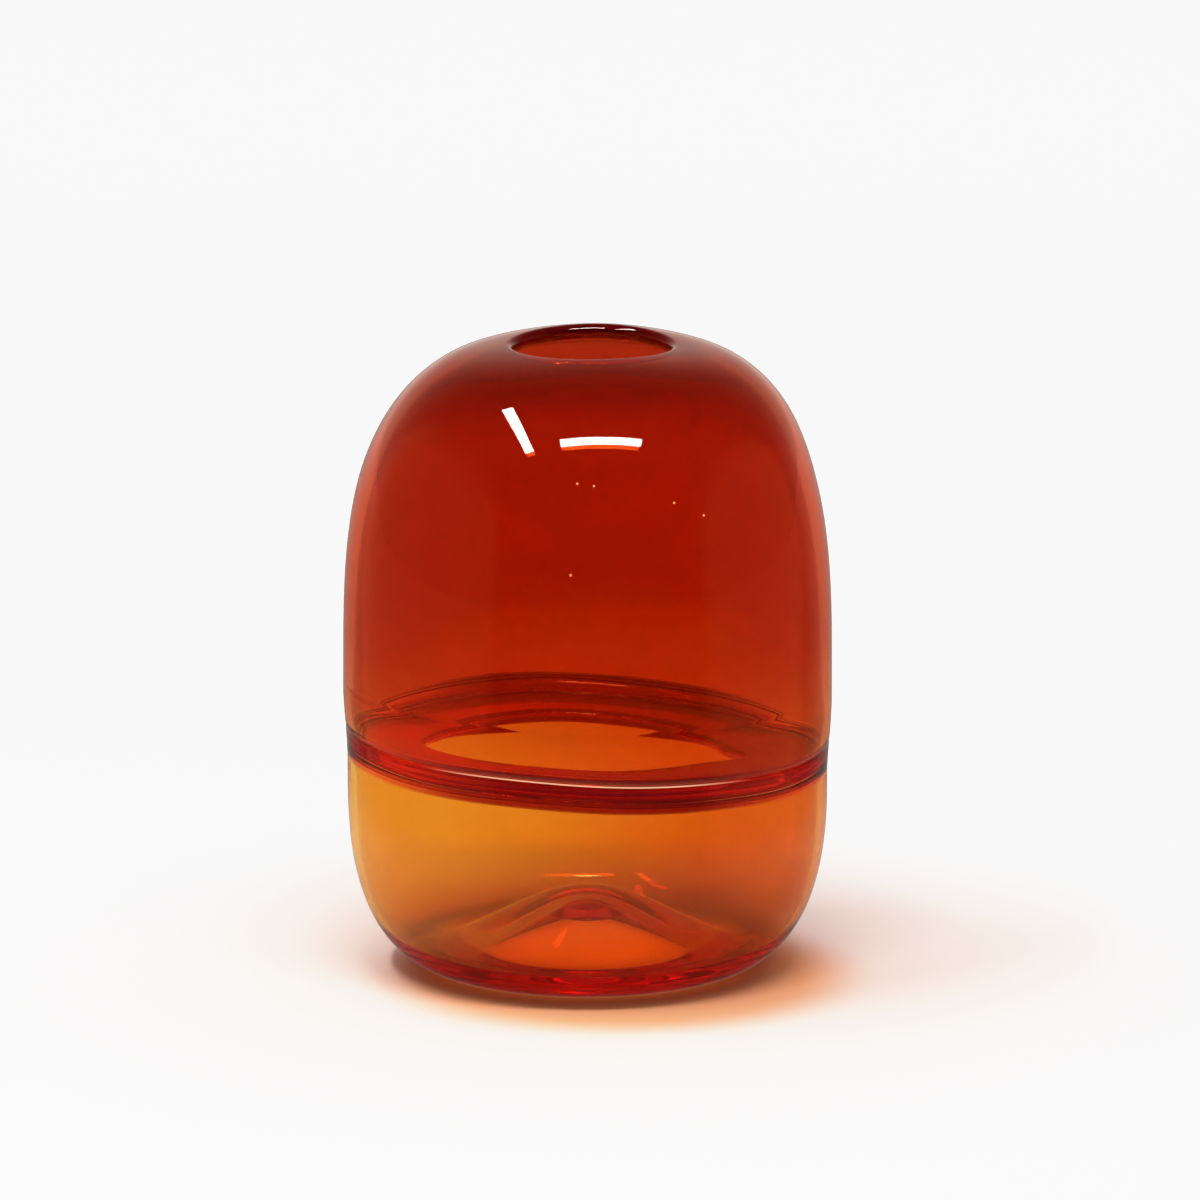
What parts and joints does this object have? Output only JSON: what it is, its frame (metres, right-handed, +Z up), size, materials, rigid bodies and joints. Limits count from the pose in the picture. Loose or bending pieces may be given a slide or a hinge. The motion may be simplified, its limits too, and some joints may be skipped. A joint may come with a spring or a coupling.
{
  "type": "bud vase",
  "caption": "Small mouth-blown glass bud vase: a deep red dome with a narrow round mouth, joined to an amber cup at a thick seam with an inner shelf.",
  "frame": {"origin": "middle of the flat foot, on the surface that the vase stands on", "axes": "+Z up along the vase's axis towards the mouth; +Y away from the front; +X to the right, where the seam dips lowest"},
  "size_m": [0.0966, 0.0966, 0.125],
  "materials": {
    "red_glass": "clear deep orange-red blown glass, fire-polished, thinner and more orange towards the seam",
    "seam_glass": "clear dark red glass, doubled up where the two bubbles meet",
    "amber_glass": "clear amber-orange blown glass, fire-polished, darker in the thick heel",
    "scar_glass": "clear orange glass with a twisted, lightly ground surface"
  },
  "bodies": {
    "root": {"upper_bubble": "red_glass", "seam_ring": "seam_glass", "lower_bubble": "amber_glass", "pontil_scar": "scar_glass"}
  },
  "joints": []
}
